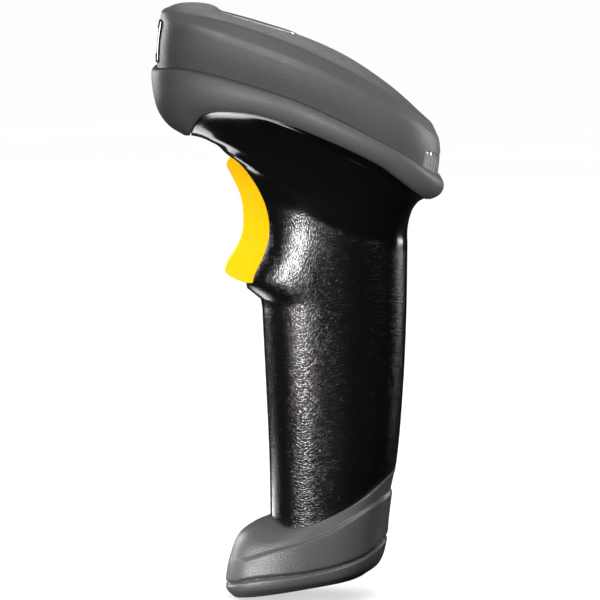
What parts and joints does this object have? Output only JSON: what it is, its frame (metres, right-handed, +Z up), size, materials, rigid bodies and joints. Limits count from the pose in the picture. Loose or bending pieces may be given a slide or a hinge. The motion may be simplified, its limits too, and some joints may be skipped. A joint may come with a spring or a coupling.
{
  "type": "handheld barcode scanner",
  "caption": "Pistol-grip handheld laser barcode scanner with a sprung trigger, a dithering scan mirror and a cable socket in its foot.",
  "frame": {"origin": "middle of the bounding box at the lowest point, the toe of the foot", "axes": "+Z up along the grip, -Y the scanning direction, +X the user's left"},
  "size_m": [0.068, 0.0842, 0.1723],
  "materials": {
    "grey_plastic": "fine satin texture",
    "black_plastic": "semi-gloss with a leather grain on the handle",
    "grey_rubber": "soft matt",
    "yellow_plastic": "gloss",
    "window_plastic": "dark red tint, polished",
    "lens_plastic": "clear, polished",
    "circuit_board": "solder mask",
    "moulded_black": "moulded",
    "steel": "zinc plated",
    "brass": "turned",
    "coil_copper": "enamelled copper winding",
    "mirror_coat": "front-silvered",
    "cast_alloy": "die cast, satin",
    "cable_sheath": "soft PVC"
  },
  "bodies": {
    "housing": {"base_foot": "grey_rubber", "beeper": "moulded_black", "board_screw_1": "steel", "board_screw_2": "steel", "cable_connector": "lens_plastic", "cable_socket": "moulded_black", "capacitor_1": "steel", "capacitor_2": "steel", "collector_lens": "lens_plastic", "crystal_can": "steel", "decoder_chip": "moulded_black", "drive_coil": "coil_copper", "engine_board": "circuit_board", "engine_cable": "cable_sheath", "engine_chassis": "cast_alloy", "engine_screw_left": "steel", "engine_screw_right": "steel", "grip_shell_left": "black_plastic", "grip_shell_right": "black_plastic", "head_bumper": "grey_plastic", "interface_chip": "moulded_black", "laser_barrel": "brass", "led_board": "circuit_board", "main_board": "circuit_board", "mirror_shaft": "steel", "photodiode": "moulded_black", "photodiode_board": "circuit_board", "rear_led": "lens_plastic", "rear_led_board": "circuit_board", "rear_lens": "lens_plastic", "scan_window": "window_plastic", "shell_screw_1": "steel", "shell_screw_2": "steel", "shell_screw_3": "steel", "shell_screw_4": "steel", "status_led": "lens_plastic", "status_lens": "lens_plastic", "switch_body": "moulded_black", "top_cover": "grey_plastic", "trigger_board": "circuit_board", "trigger_cable": "cable_sheath", "trigger_pin": "steel", "window_bezel": "black_plastic"},
    "trigger": {"trigger": "yellow_plastic", "trigger_spring": "steel"},
    "plunger": {"switch_plunger": "lens_plastic"},
    "mirror": {"scan_mirror": "mirror_coat", "mirror_magnet": "steel"}
  },
  "joints": [
    {"name": "trigger_pull", "type": "hinge", "parent": "housing", "child": "trigger", "pos_m": [0, -0.0108, 0.12704], "axis": [1, 0, 0], "range_deg": [0, 5], "stiffness_Nm_per_rad": 0.9, "springref_deg": -2.86},
    {"name": "plunger_press", "type": "slide", "parent": "housing", "child": "plunger", "axis": [0, 1, 0], "range_m": [0, 0.000848]},
    {"name": "mirror_dither", "type": "hinge", "parent": "housing", "child": "mirror", "pos_m": [-0.0057, -0.0116, 0.15444], "axis": [0, 0, 1], "range_deg": [-10, 10], "stiffness_Nm_per_rad": 0.0006}
  ],
  "couplings": [
    {"joint": "plunger_press", "follows": "trigger_pull", "m_per_rad": 0.0096}
  ]
}
